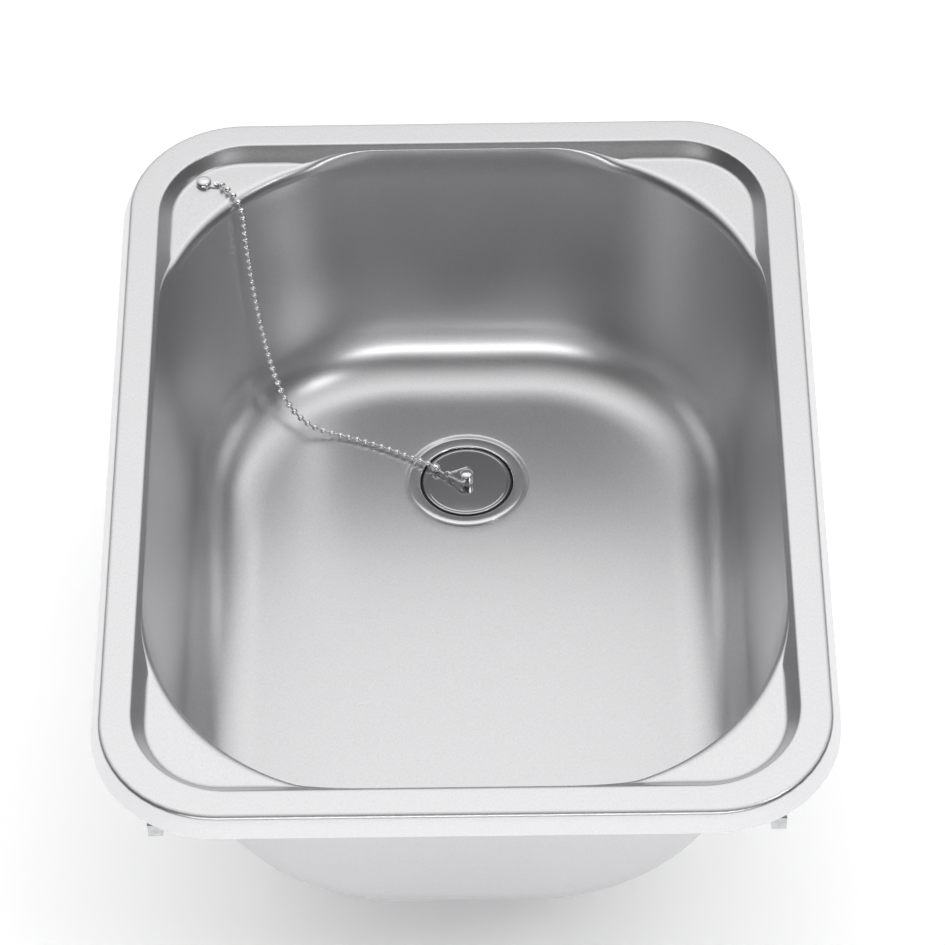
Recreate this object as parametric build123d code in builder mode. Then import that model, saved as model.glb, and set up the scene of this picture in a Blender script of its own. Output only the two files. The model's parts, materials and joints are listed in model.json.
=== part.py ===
"""Inset kitchen sink: one pressed steel bowl with its waste, plug, ball chain and fixing clips.

Millimetres. The origin is the centre of the worktop cut-out on the worktop's top face, +Z is up
and +Y is towards the wall, the side of the waste and the chain stay.
"""
import os
from math import atan2, cos, radians, sin, sqrt, tan

from build123d import *

# Rim
overall_width = 400.0  # left to right over the turned-down edge
overall_depth = 510.0  # front to back over the turned-down edge
rim_height = 13.0  # flat rim above the worktop
rim_flat = 16.5  # width of the flat rim
edge_spread = 5.0  # how far the turned-down edge spreads outwards
flat_corner = 65.0  # corner radius at the outside of the flat rim
inner_corner = 54.0  # corner radius at the inside of the flat rim
edge_round = 3.5  # rounding over the outside of the rim
inner_round = 2.5  # rounding over the inside of the rim
sheet = 1.0  # steel thickness
corner_steps = 10  # flats that make the curve of one corner
round_steps = 2  # flats that make the rounding of an edge
flat_limit = 1e-6  # a face with four corners counts as flat below this volume

# Step, corner ledges and lip of the bowl
step_drop = 8.5  # rim top to the corner ledges
step_run = 8.0  # how far the step slopes inwards
step_corner = 41.0  # corner radius at the foot of the step
mouth_in = 4.0  # flat rim's inside to the bowl's mouth, which cuts into the step along each side
mouth_corner = 117.0  # corner radius where the ledge turns into the lip
lip_drop = 8.0  # height of the lip
throat_corner = 131.0  # corner radius at the top of the bowl wall
lip_steps = 3  # flats that make the lip's curve

# Bowl
bowl_depth = 172.0  # rim top to the floor at the waste
wall_draft = 6.2  # degrees
floor_corner = 138.0  # corner radius where the walls would meet the floor
floor_fillet = 30.0  # rounding between walls and floor
floor_steps = 5  # flats that make that rounding
floor_fall = 2.5  # degrees, down towards the waste

# Seal under the rim and pad under the floor
seal_width = 9.0
seal_setback = 3.0  # from the flat rim's outside to the seal
pad_width = 170.0
pad_depth = 190.0
pad_corner = 18.0
pad_thick = 2.5
pad_gap = 14.0  # from the waste seat to the pad

# Waste, along its own axis from the floor
waste_back = 114.0  # behind the middle of the sink
flange_radius = 35.0
flange_sheet = 1.0
seat_depth = 1.5  # seat below the floor
seat_room = 0.6  # round the flange
seat_slope = 2.0  # run of the shoulder round the seat
waste_hole = 30.5  # radius of the hole in the seat
throat_radius = 28.0
throat_depth = 21.0
ring_sides = 36  # flats round the throat, its plug and the hidden rings
drain_holes = 6
drain_hole_radius = 5.0
drain_sides = 12
drain_circle = 15.0
waste_seal_thick = 2.0
cup_radius = 36.0
cup_wall = 3.5
cup_depth = 24.0
tail_radius = 23.9  # outside of the tail's pipe thread
tail_length = 30.0
tail_bore = 20.0
boss_radius = 5.0
boss_length = 12.0
rib_thick = 2.5
rib_height = 4.0
rib_count = 3
screw_radius = 3.0
screw_head_radius = 5.5
screw_head = 3.0
screw_slot = 1.4
thread_gap = 0.1

# Plug, along the same axis from the flange's top
cap_radius = 26.6
cap_sheet = 1.2
rubber_gap = 0.3  # rubber to throat
rubber_depth = 13.0
rubber_bevel = 4.0  # leads the plug into the throat
stud_radius = 2.0
nut_across = 7.0
nut_height = 3.0
post_radius = 4.2
post_height = 8.5
post_bevel = 1.2
post_hole = 1.2
post_hole_up = 5.5

# Link on the post
link_wire = 0.9  # radius
link_half = 6.8  # half of the side that goes through the post
link_length = 13.0
link_corner = 1.4
link_turn = 13.0  # degrees, plug turned in the waste
link_drop = 10.6  # degrees, link leans down until its coupling lies on the cap

# Ball chain
bead_size = 3.9  # over a bead
bead_cut = 1.15  # its edges are cut back by this much
bead_pitch = 5.4
pin_radius = 0.6
pin_sides = 4
end_beads = 7  # beads that go with the plug
bell_radius = 2.6
bell_length = 5.0
bell_sides = 8
bell_neck = 1.0  # pin between a bell and the chain
ring_radius = 1.8  # inside of the coupling's ring
ring_wire = 1.0
stay_bell_radius = 1.9
stay_bell_length = 2.4
peg_radius = 1.1
peg_gap = 0.3

# Route of the chain, through the middles of its beads: over the ledge and the lip, down the
# left back corner and across the floor to the plug
chain_points = [
    (-140.5, 204.6, 7.6),
    (-135.0, 198.4, 7.3),
    (-130.2, 191.4, 2.6),
    (-129.6, 188.0, -14.0),
    (-127.8, 184.0, -45.0),
    (-124.8, 179.9, -78.0),
    (-120.8, 176.6, -108.0),
    (-115.2, 170.6, -132.5),
    (-106.6, 161.2, -148.0),
    (-93.0, 153.6, -155.9),
    (-75.0, 149.8, -158.1),
    (-55.0, 142.4, -157.9),
    (-37.5, 133.4, -157.3),
    (-21.2, 124.8, -156.6),
]
chain_bend = 0.45  # share of a run that its bends may take

# Chain stay on the left back ledge
stay_in_x = 25.3  # from the flat rim's inside
stay_in_y = 23.4
stay_head_radius = 4.6
stay_head_height = 3.2
stay_head_bevel = 1.6
stay_shank = 2.0
stay_hole_gap = 0.3
stay_length = 9.0
stay_nut_across = 7.0
stay_nut_height = 3.2
eye_plate = 0.8
eye_radius = 4.0
eye_reach = 7.6  # middle of the stay to the eye
eye_end = 2.6
eye_hole = 1.4
eye_turn = -8.0  # degrees from straight right
small_sides = 16  # flats round the stay and the post

# Fixing clips under the four corner ledges
clip_in_x = 11.0  # from the flat rim's inside to the clip screw
clip_in_y = 49.5
lug_plate = 1.5
lug_width = 20.0
lug_inside = 5.5  # from the clip screw inwards
lug_outside = 7.0  # from the clip screw outwards
lug_drop = 30.0
clip_screw_radius = 2.5
clip_screw_length = 31.0
clip_screw_up = 5.0  # screw above the lug's tab
clip_head_across = 8.0
clip_head = 4.0
claw_plate = 2.0
claw_hub = 5.0
claw_width = 8.0
claw_reach = 34.0
claw_tooth = 8.0
claw_gap = 0.1  # claw on its screw

# Derived places
flat_x = overall_width / 2 - edge_spread
flat_y = overall_depth / 2 - edge_spread
inner_x = flat_x - rim_flat
inner_y = flat_y - rim_flat
ledge_z = rim_height - step_drop
lip_z = ledge_z - lip_drop
edge_lean = atan2(edge_spread, rim_height)
step_lean = atan2(step_run, step_drop)
step_miter = tan((radians(90) - step_lean) / 2)
draft = radians(wall_draft)
fall = radians(floor_fall)
floor_normal = (0, sin(fall), cos(fall))
waste_z = rim_height - bowl_depth
floor_mid_z = waste_z + tan(fall) * waste_back
floor_in = mouth_in + tan(draft) * (lip_z - floor_mid_z)
waste_axis = Axis((0, waste_back, waste_z), floor_normal)
waste_plane = Plane(origin=(0, waste_back, waste_z), x_dir=(1, 0, 0), z_dir=floor_normal)
waste_section = Plane(origin=(0, waste_back, waste_z), x_dir=(1, 0, 0), z_dir=(0, -cos(fall), sin(fall)))

os.makedirs("parts", exist_ok=True)


def rounded(half_x, half_y, corner):
    """Corners of a rectangle whose rounded corners are made of short flats."""
    points = []
    for quarter, (sign_x, sign_y) in enumerate(((1, 1), (-1, 1), (-1, -1), (1, -1))):
        for step in range(corner_steps + 1):
            turn = radians(90 * (quarter + step / corner_steps))
            x = sign_x * (half_x - corner) + corner * cos(turn)
            y = sign_y * (half_y - corner) + corner * sin(turn)
            points.append((x, y))
    return points


def rounding(lean, radius, steps):
    """Runs and drops of an edge's rounding, from a face that leans to a level face."""
    pairs = []
    for step in range(steps + 1):
        turn = lean + (radians(90) - lean) * step / steps
        run = radius * ((sin(lean) - 1) / cos(lean) + cos(turn))
        pairs.append((run, radius * (1 - sin(turn))))
    return pairs


def stacked(sections):
    """Solid of flat faces through sections, each a plane, two half widths and a corner radius."""
    rings = []
    for plane, half_x, half_y, corner in sections:
        rings.append([plane.from_local_coords(Vector(x, y, 0)) for x, y in rounded(half_x, half_y, corner)])
    outlines = [rings[0], rings[-1]]
    for one, other in zip(rings, rings[1:]):
        for a, b, c, d in zip(one, one[1:] + one[:1], other[1:] + other[:1], other):
            if abs((b - a).cross(d - a).dot(c - a)) < flat_limit:
                outlines.append([a, b, c, d])
            else:
                outlines.append([a, b, c])
                outlines.append([a, c, d])
    with BuildPart() as form:
        add(Solid(Shell([Face(Wire.make_polygon(outline, close=True)) for outline in outlines])))
    return form.part


def rim_form(skin):
    """Turned-down edge and flat rim, or the space under them when skin is the sheet's thickness."""
    grow = edge_spread - skin
    sections = [(Plane.XY, flat_x + grow, flat_y + grow, flat_corner + grow)]
    inset = skin * tan((radians(90) - edge_lean) / 2)
    for run, drop in rounding(edge_lean, edge_round - skin, round_steps):
        grow = run - inset
        level = Plane.XY.offset(rim_height - skin - drop)
        sections.append((level, flat_x + grow, flat_y + grow, flat_corner + grow))
    return stacked(sections)


def step_form(skin):
    """Space inside the step down to the ledges, or its outside when skin is the sheet's thickness."""
    sections = []
    miter = step_miter * skin
    if skin:
        tops = [(0, 0)]
    else:
        tops = reversed(rounding(step_lean, inner_round, round_steps))
    for run, drop in tops:
        grow = miter - run
        level = Plane.XY.offset(rim_height - skin - drop)
        sections.append((level, inner_x + grow, inner_y + grow, inner_corner + grow))
    grow = miter - step_run
    sections.append((Plane.XY.offset(ledge_z - skin), inner_x + grow, inner_y + grow, step_corner + miter))
    return stacked(sections)


def bowl_form(skin):
    """Space inside the lip, walls and floor, or its outside when skin is the sheet's thickness."""
    half_x = inner_x - mouth_in + skin
    half_y = inner_y - mouth_in + skin
    sections = [(Plane.XY.offset(rim_height - sheet - skin), half_x, half_y, mouth_corner + skin)]
    lip_corner = mouth_corner + skin * (1 + sqrt(2))
    for step in range(lip_steps + 1):
        turn = radians(90 * step / lip_steps)
        corner = lip_corner + (throat_corner + skin - lip_corner) * sin(turn)
        level = Plane.XY.offset(ledge_z - skin - (lip_drop - skin) * (1 - cos(turn)))
        sections.append((level, half_x, half_y, corner))
    outwards = skin * (1 - sin(draft)) / cos(draft) - floor_in
    bends = rounding(draft, floor_fillet + skin, floor_steps)
    start_run, start_rise = bends[0]
    share = start_rise / (lip_z - floor_mid_z)
    start_corner = floor_corner + skin + (throat_corner - floor_corner) * share
    for run, rise in bends:
        level = Plane(origin=(0, 0, floor_mid_z - skin + rise), x_dir=(1, 0, 0), z_dir=floor_normal)
        grow = outwards + run
        sections.append((level, inner_x + grow, inner_y + grow, start_corner + run - start_run))
    return stacked(sections)


rim_outside = rim_form(0)
rim_inside = rim_form(sheet)
step_inside = step_form(0)
step_outside = step_form(sheet)
bowl_inside = bowl_form(0)
bowl_outside = bowl_form(sheet)

# The pressing: rim, step, corner ledges, bowl and waste seat in one sheet
seat_radius = flange_radius + seat_room
stay_x = -(inner_x - stay_in_x)
stay_y = inner_y - stay_in_y
with BuildPart() as sink_bowl:
    add(rim_outside)
    add(rim_inside, mode=Mode.SUBTRACT)
    add(step_outside)
    add(bowl_outside)
    with BuildSketch(waste_section):
        with BuildLine():
            Polyline(
                (0, 0),
                (seat_radius + seat_slope, 0),
                (seat_radius + seat_slope, -sheet),
                (seat_radius + sheet, -seat_depth - sheet),
                (0, -seat_depth - sheet),
                close=True,
            )
        make_face()
    revolve(axis=waste_axis)
    add(step_inside, mode=Mode.SUBTRACT)
    add(bowl_inside, mode=Mode.SUBTRACT)
    with BuildSketch(waste_section):
        with BuildLine():
            Polyline(
                (0, sheet),
                (seat_radius + seat_slope, sheet),
                (seat_radius + seat_slope, 0),
                (seat_radius, -seat_depth),
                (waste_hole, -seat_depth),
                (waste_hole, -seat_depth - 2 * sheet),
                (0, -seat_depth - 2 * sheet),
                close=True,
            )
        make_face()
    revolve(axis=waste_axis, mode=Mode.SUBTRACT)
    with Locations((stay_x, stay_y, ledge_z)):
        Cylinder(stay_shank + stay_hole_gap, 4 * sheet, mode=Mode.SUBTRACT)
sink_bowl.part.label = "sink_bowl"
export_step(sink_bowl.part, "parts/sink_bowl.step")

# Foam strip under the flat rim, which the worktop presses on
seal_x = flat_x - seal_setback
seal_y = flat_y - seal_setback
seal_corner = flat_corner - seal_setback
with BuildPart() as rim_seal:
    with BuildSketch(Plane.XY):
        with BuildLine():
            Polyline(*rounded(seal_x, seal_y, seal_corner), close=True)
        make_face()
        with BuildLine():
            Polyline(
                *rounded(seal_x - seal_width, seal_y - seal_width, seal_corner - seal_width),
                close=True,
            )
        make_face(mode=Mode.SUBTRACT)
    extrude(amount=rim_height - sheet)
rim_seal.part.label = "rim_seal"
export_step(rim_seal.part, "parts/rim_seal.step")

# Damping pad stuck under the floor, in front of the waste
pad_y = waste_back - seat_radius - seat_slope - pad_gap - pad_depth / 2
with BuildPart() as sound_pad:
    with BuildSketch(Plane(origin=(0, 0, floor_mid_z - sheet), x_dir=(1, 0, 0), z_dir=floor_normal)):
        with Locations((0, pad_y)):
            RectangleRounded(pad_width, pad_depth, pad_corner)
    extrude(amount=-pad_thick)
sound_pad.part.label = "sound_pad"
export_step(sound_pad.part, "parts/sound_pad.step")

# Waste flange with its throat and strainer floor, seated on the pressing
flange_under = -seat_depth
flange_top = flange_under + flange_sheet
throat_floor = flange_top - throat_depth
with BuildPart() as waste_flange:
    with BuildSketch(waste_plane.offset(flange_under)):
        Circle(flange_radius)
    extrude(amount=flange_sheet)
    with BuildSketch(waste_plane.offset(flange_under)):
        RegularPolygon(throat_radius + flange_sheet, ring_sides)
    extrude(amount=throat_floor - flange_sheet - flange_under)
    with BuildSketch(waste_plane.offset(flange_top)):
        RegularPolygon(throat_radius, ring_sides)
    extrude(amount=-throat_depth, mode=Mode.SUBTRACT)
    with BuildSketch(waste_plane.offset(throat_floor)):
        Circle(screw_radius + thread_gap)
        with PolarLocations(drain_circle, drain_holes):
            RegularPolygon(drain_hole_radius, drain_sides)
    extrude(amount=-2 * flange_sheet, mode=Mode.SUBTRACT)
waste_flange.part.label = "waste_flange"
export_step(waste_flange.part, "parts/waste_flange.step")

# Rubber ring between the pressing and the waste body
seal_top = -seat_depth - sheet
with BuildPart() as waste_seal:
    with BuildSketch(waste_plane.offset(seal_top)):
        RegularPolygon(cup_radius, ring_sides)
        RegularPolygon(waste_hole, ring_sides, mode=Mode.SUBTRACT)
    extrude(amount=-waste_seal_thick)
waste_seal.part.label = "waste_seal"
export_step(waste_seal.part, "parts/waste_seal.step")

# Waste body: cup, tail and a boss on ribs that the waste screw pulls up
cup_top = seal_top - waste_seal_thick
cup_floor = cup_top - cup_depth
cup_foot = cup_floor - cup_wall
tail_foot = cup_foot - tail_length
boss_top = throat_floor - flange_sheet
with BuildPart() as waste_body:
    with BuildSketch(waste_plane.offset(cup_top)):
        RegularPolygon(cup_radius, ring_sides)
    extrude(amount=cup_foot - cup_top)
    with BuildSketch(waste_plane.offset(cup_foot)):
        Circle(tail_radius)
    extrude(amount=-tail_length)
    with BuildSketch(waste_plane.offset(cup_top)):
        RegularPolygon(cup_radius - cup_wall, ring_sides)
    extrude(amount=-cup_depth, mode=Mode.SUBTRACT)
    with BuildSketch(waste_plane.offset(cup_floor)):
        Circle(tail_bore)
    extrude(amount=tail_foot - cup_floor, mode=Mode.SUBTRACT)
    with BuildSketch(waste_plane.offset(cup_floor)):
        with PolarLocations(0, rib_count):
            with Locations(((cup_radius - cup_wall) / 2, 0)):
                Rectangle(cup_radius - cup_wall, rib_thick)
    extrude(amount=rib_height)
    with BuildSketch(waste_plane.offset(boss_top)):
        Circle(boss_radius)
    extrude(amount=-boss_length)
    with BuildSketch(waste_plane.offset(boss_top)):
        Circle(screw_radius + thread_gap)
    extrude(amount=-boss_length, mode=Mode.SUBTRACT)
waste_body.part.label = "waste_body"
export_step(waste_body.part, "parts/waste_body.step")

with BuildPart() as waste_screw:
    with BuildSketch(waste_plane.offset(throat_floor)):
        Circle(screw_head_radius)
    extrude(amount=screw_head)
    with BuildSketch(waste_plane.offset(throat_floor)):
        Circle(screw_radius)
    extrude(amount=-flange_sheet - boss_length)
    with BuildSketch(waste_plane.offset(throat_floor + screw_head)):
        Rectangle(3 * screw_head_radius, screw_slot)
    extrude(amount=-screw_slot, mode=Mode.SUBTRACT)
waste_screw.part.label = "waste_screw"
export_step(waste_screw.part, "parts/waste_screw.step")

# Plug: steel cap level with the flange, rubber, post and nut
cap_top = flange_top
cap_under = cap_top - cap_sheet
rubber_foot = cap_under - rubber_depth
with BuildPart() as plug_cap:
    with BuildSketch(waste_plane.offset(cap_under)):
        Circle(cap_radius)
        Circle(stud_radius + thread_gap, mode=Mode.SUBTRACT)
    extrude(amount=cap_sheet)
plug_cap.part.label = "plug_cap"
export_step(plug_cap.part, "parts/plug_cap.step")

with BuildPart() as plug_rubber:
    with BuildSketch(waste_plane.offset(rubber_foot)):
        RegularPolygon(throat_radius - rubber_gap, ring_sides)
    extrude(amount=rubber_depth)
    chamfer(plug_rubber.faces().sort_by(Axis.Z)[0].edges(), rubber_bevel)
    with BuildSketch(waste_plane.offset(rubber_foot)):
        Circle(stud_radius + thread_gap)
    extrude(amount=rubber_depth, mode=Mode.SUBTRACT)
plug_rubber.part.label = "plug_rubber"
export_step(plug_rubber.part, "parts/plug_rubber.step")

# The link's hinge line runs along link_plane's Y through the post
link_spot = waste_plane.offset(cap_top + post_hole_up).origin
link_out = Vector(-cos(radians(link_turn)), sin(radians(link_turn)) * cos(fall), 0)
link_out = link_out - Vector(0, 0, sin(radians(link_turn)) * sin(fall))
link_plane = Plane(origin=link_spot, x_dir=link_out, z_dir=floor_normal)
nut_foot = rubber_foot - nut_height
with BuildPart() as plug_post:
    with BuildSketch(waste_plane.offset(cap_top)):
        RegularPolygon(post_radius, small_sides)
    extrude(amount=post_height)
    chamfer(plug_post.faces().sort_by(Axis.Z)[-1].edges(), post_bevel)
    with BuildSketch(waste_plane.offset(cap_top)):
        Circle(stud_radius)
    extrude(amount=nut_foot - cap_top)
    with BuildSketch(Plane(origin=link_spot, x_dir=floor_normal, z_dir=link_plane.y_dir)):
        Circle(post_hole)
    extrude(amount=2 * post_radius, both=True, mode=Mode.SUBTRACT)
plug_post.part.label = "plug_post"
export_step(plug_post.part, "parts/plug_post.step")

with BuildPart() as plug_nut:
    with BuildSketch(waste_plane.offset(rubber_foot)):
        RegularPolygon(nut_across / 2, 6, major_radius=False)
        Circle(stud_radius + thread_gap, mode=Mode.SUBTRACT)
    extrude(amount=-nut_height)
plug_nut.part.label = "plug_nut"
export_step(plug_nut.part, "parts/plug_nut.step")

# Triangular wire link: one side goes through the post, the point lies over the cap to the left
lean = radians(link_drop)
lean_out = link_plane.x_dir * cos(lean) - link_plane.z_dir * sin(lean)
lean_plane = Plane(
    origin=link_spot, x_dir=lean_out, z_dir=link_plane.x_dir * sin(lean) + link_plane.z_dir * cos(lean)
)
with BuildPart() as plug_link:
    with BuildLine(lean_plane) as link_line:
        Polyline((0, -link_half), (0, link_half), (link_length, 0), close=True)
        chamfer(link_line.vertices(), link_corner)
    link_path = link_line.wires()[0]
    with BuildSketch(Plane(origin=link_path @ 0, z_dir=link_path % 0)):
        Circle(link_wire)
    sweep(path=link_path, transition=Transition.RIGHT)
plug_link.part.label = "plug_link"
export_step(plug_link.part, "parts/plug_link.step")

# Chain line: straight runs joined by arcs that touch them
runs = [Vector(*b) - Vector(*a) for a, b in zip(chain_points, chain_points[1:])]
chain_radii = []
for before, after in zip(runs, runs[1:]):
    half_turn = radians(before.get_angle(after)) / 2
    chain_radii.append(chain_bend * min(before.length, after.length) / tan(half_turn))
print("chain bends", [round(radius, 1) for radius in chain_radii])
with BuildLine() as chain_line:
    chain_path = FilletPolyline(*chain_points, radius=chain_radii)
chain_length = chain_path.length
bead_count = round(chain_length / bead_pitch)
pitch = chain_length / bead_count
print("chain length", round(chain_length, 1), "beads", bead_count, "pitch", round(pitch, 3))


# One bead, one pin between two beads, and the half pin at the end of a row
with BuildPart() as bead:
    with BuildSketch(Plane.XY):
        Rectangle(bead_size, bead_size)
    extrude(amount=bead_size / 2, both=True)
    chamfer(bead.edges(), bead_cut)

with BuildPart() as pin:
    with BuildSketch(Plane.XY):
        RegularPolygon(pin_radius, pin_sides)
    extrude(amount=pitch / 2 - bead_size / 4, both=True)

with BuildPart() as half_pin:
    with BuildSketch(Plane.XY):
        RegularPolygon(pin_radius, pin_sides)
    extrude(amount=pitch / 2 - bead_size / 4)


def on_chain(along):
    """Plane across the chain at a distance along it."""
    share = min(along / chain_length, 1)
    return Plane(origin=chain_path @ share, z_dir=chain_path % share)


def bead_row(first, last):
    """Beads first to last on their pins, with half a pin beyond them at both ends."""
    middles = [on_chain((number + 0.5) * pitch) for number in range(first, last)]
    pieces = [bead.part.moved(middle.location) for middle in middles]
    for one, other in zip(middles, middles[1:]):
        between = Plane(origin=(one.origin + other.origin) / 2, z_dir=other.origin - one.origin)
        pieces.append(pin.part.moved(between.location))
    start = on_chain(first * pitch)
    pieces.append(half_pin.part.moved(start.location))
    stop = on_chain(last * pitch)
    pieces.append(half_pin.part.moved(Plane(origin=stop.origin, z_dir=-stop.z_dir).location))
    return pieces


with BuildPart() as ball_chain:
    add(bead_row(0, bead_count - end_beads))
ball_chain.part.label = "ball_chain"
export_step(ball_chain.part, "parts/ball_chain.step")

with BuildPart() as ball_chain_end:
    add(bead_row(bead_count - end_beads, bead_count))
ball_chain_end.part.label = "ball_chain_end"
export_step(ball_chain_end.part, "parts/ball_chain_end.step")

# Coupling on the link: a bell that holds the chain's last bead and a ring round the link's point
point_in = link_corner * cos(atan2(link_half, link_length))
point_spot = link_spot + lean_plane.x_dir * (link_length - point_in)
chain_foot = on_chain(chain_length)
bell_foot = chain_foot.origin + chain_foot.z_dir * bell_neck
ring_edge = point_spot + lean_plane.x_dir * (ring_radius + ring_wire / 2)
bell_way = (ring_edge - bell_foot).normalized()
bell_reach = (ring_edge - bell_foot).length
with BuildPart() as plug_coupling:
    with BuildSketch(Plane(origin=point_spot, x_dir=lean_plane.x_dir, z_dir=lean_plane.y_dir)):
        RegularPolygon(ring_radius + ring_wire, bell_sides)
        RegularPolygon(ring_radius, bell_sides, mode=Mode.SUBTRACT)
    extrude(amount=ring_wire / 2, both=True)
    with BuildSketch(Plane(origin=bell_foot, z_dir=bell_way)):
        RegularPolygon(bell_radius, bell_sides)
    extrude(amount=bell_length)
    with BuildSketch(Plane(origin=bell_foot, z_dir=bell_way)):
        RegularPolygon(pin_radius, pin_sides)
    extrude(amount=bell_reach)
    with BuildSketch(chain_foot):
        RegularPolygon(pin_radius, pin_sides)
    extrude(amount=bell_neck + pin_radius)
plug_coupling.part.label = "plug_coupling"
export_step(plug_coupling.part, "parts/plug_coupling.step")

# Chain stay: bolt, eye plate under its head and nut below the ledge
eye_top = ledge_z + eye_plate
with BuildPart() as stay_bolt:
    with BuildSketch(Plane.XY.offset(eye_top)):
        with Locations((stay_x, stay_y)):
            RegularPolygon(stay_head_radius, small_sides)
    extrude(amount=stay_head_height)
    chamfer(stay_bolt.faces().sort_by(Axis.Z)[-1].edges(), stay_head_bevel)
    with BuildSketch(Plane.XY.offset(eye_top)):
        with Locations((stay_x, stay_y)):
            Circle(stay_shank)
    extrude(amount=-stay_length)
stay_bolt.part.label = "stay_bolt"
export_step(stay_bolt.part, "parts/stay_bolt.step")

eye_frame = Plane(
    origin=(stay_x, stay_y, ledge_z), x_dir=(cos(radians(eye_turn)), sin(radians(eye_turn)), 0), z_dir=(0, 0, 1)
)
with BuildPart() as stay_eye:
    with BuildSketch(eye_frame):
        RegularPolygon(eye_radius, small_sides)
        with Locations((eye_reach / 2, 0)):
            Rectangle(eye_reach, 2 * eye_end)
        with Locations((eye_reach, 0)):
            RegularPolygon(eye_end, small_sides)
            Circle(eye_hole, mode=Mode.SUBTRACT)
        Circle(stay_shank + thread_gap, mode=Mode.SUBTRACT)
    extrude(amount=eye_plate)
stay_eye.part.label = "stay_eye"
export_step(stay_eye.part, "parts/stay_eye.step")

nut_top = ledge_z - sheet
with BuildPart() as stay_nut:
    with BuildSketch(Plane.XY.offset(nut_top)):
        with Locations((stay_x, stay_y)):
            RegularPolygon(stay_nut_across / 2, 6, major_radius=False)
            Circle(stay_shank + thread_gap, mode=Mode.SUBTRACT)
    extrude(amount=-stay_nut_height)
stay_nut.part.label = "stay_nut"
export_step(stay_nut.part, "parts/stay_nut.step")

# Coupling at the stay: a tongue over the eye plate, a peg through its eye and a bell to the chain
eye_spot = eye_frame.from_local_coords(Vector(eye_reach, 0, 0))
chain_head = on_chain(0)
tongue_low = eye_plate + peg_gap
tongue_spot = eye_spot + Vector(0, 0, tongue_low + eye_plate / 2)
stay_bell = chain_head.origin - chain_head.z_dir * bell_neck
stay_way = (stay_bell - tongue_spot).normalized()
stay_reach = (stay_bell - tongue_spot).length
with BuildPart() as stay_coupling:
    with BuildSketch(eye_frame.offset(tongue_low)):
        with Locations((eye_reach, 0)):
            Circle(eye_hole + peg_gap)
    extrude(amount=eye_plate)
    with BuildSketch(eye_frame.offset(tongue_low)):
        with Locations((eye_reach, 0)):
            Circle(peg_radius)
    extrude(amount=-tongue_low)
    with BuildSketch(Plane(origin=tongue_spot, z_dir=stay_way)):
        RegularPolygon(pin_radius, pin_sides)
    extrude(amount=stay_reach)
    with BuildSketch(Plane(origin=stay_bell, z_dir=stay_way)):
        RegularPolygon(stay_bell_radius, bell_sides)
    extrude(amount=-stay_bell_length)
    with BuildSketch(chain_head):
        RegularPolygon(pin_radius, pin_sides)
    extrude(amount=-bell_neck - pin_radius)
stay_coupling.part.label = "stay_coupling"
export_step(stay_coupling.part, "parts/stay_coupling.step")

# Fixing clips: lug under a corner ledge, screw through its tab and claw that grips the worktop
clip_x = inner_x - clip_in_x
clip_y = inner_y - clip_in_y
lug_top = ledge_z - sheet
tab_top = lug_top - lug_drop + lug_plate
screw_top = tab_top + clip_screw_up
head_top = screw_top - clip_screw_length
for end, end_sign in (("front", -1), ("back", 1)):
    for side, side_sign in (("left", -1), ("right", 1)):
        spot = Plane(
            origin=(side_sign * clip_x, end_sign * clip_y, 0), x_dir=(side_sign, 0, 0), z_dir=(0, 0, 1)
        )
        along = Plane(
            origin=(side_sign * clip_x, end_sign * clip_y, 0), x_dir=(side_sign, 0, 0), z_dir=(0, -side_sign, 0)
        )
        with BuildPart() as clip_lug:
            with BuildSketch(along):
                with BuildLine():
                    Polyline(
                        (-lug_inside, lug_top),
                        (lug_outside, lug_top),
                        (lug_outside, tab_top - lug_plate),
                        (-lug_inside, tab_top - lug_plate),
                        (-lug_inside, tab_top),
                        (lug_outside - lug_plate, tab_top),
                        (lug_outside - lug_plate, lug_top - lug_plate),
                        (-lug_inside, lug_top - lug_plate),
                        close=True,
                    )
                make_face()
            extrude(amount=lug_width / 2, both=True)
            with BuildSketch(spot.offset(tab_top)):
                Circle(clip_screw_radius + thread_gap)
            extrude(amount=-lug_plate, mode=Mode.SUBTRACT)
        clip_lug.part.label = f"clip_lug_{end}_{side}"
        export_step(clip_lug.part, f"parts/clip_lug_{end}_{side}.step")

        with BuildPart() as clip_screw:
            with BuildSketch(spot.offset(screw_top)):
                Circle(clip_screw_radius)
            extrude(amount=-clip_screw_length)
            with BuildSketch(spot.offset(head_top)):
                RegularPolygon(clip_head_across / 2, 6, major_radius=False)
            extrude(amount=-clip_head)
        clip_screw.part.label = f"clip_screw_{end}_{side}"
        export_step(clip_screw.part, f"parts/clip_screw_{end}_{side}.step")

        with BuildPart() as clip_claw:
            with BuildSketch(Plane.XY.offset(head_top)):
                with Locations((side_sign * clip_x, end_sign * clip_y)):
                    RegularPolygon(claw_hub, 8)
                with Locations((side_sign * clip_x, end_sign * (clip_y + claw_reach / 2))):
                    Rectangle(claw_width, claw_reach)
                with Locations((side_sign * clip_x, end_sign * clip_y)):
                    Circle(clip_screw_radius + claw_gap, mode=Mode.SUBTRACT)
            extrude(amount=claw_plate)
            with BuildSketch(Plane.XY.offset(head_top)):
                with Locations((side_sign * clip_x, end_sign * (clip_y + claw_reach - claw_plate / 2))):
                    Rectangle(claw_width, claw_plate)
            extrude(amount=claw_plate + claw_tooth)
        clip_claw.part.label = f"clip_claw_{end}_{side}"
        export_step(clip_claw.part, f"parts/clip_claw_{end}_{side}.step")
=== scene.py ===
"""Inset kitchen sink, dressed over its solids.

Shapes are worked out in millimetres in the part's own frame and put into meshes in metres. Each
shape is a grid of points: rows along a profile, columns round it.
"""

import json
from math import atan2, cos, pi, radians, sin, tan

import bmesh
import bpy
import numpy as np
from mathutils import Matrix, Vector


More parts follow.
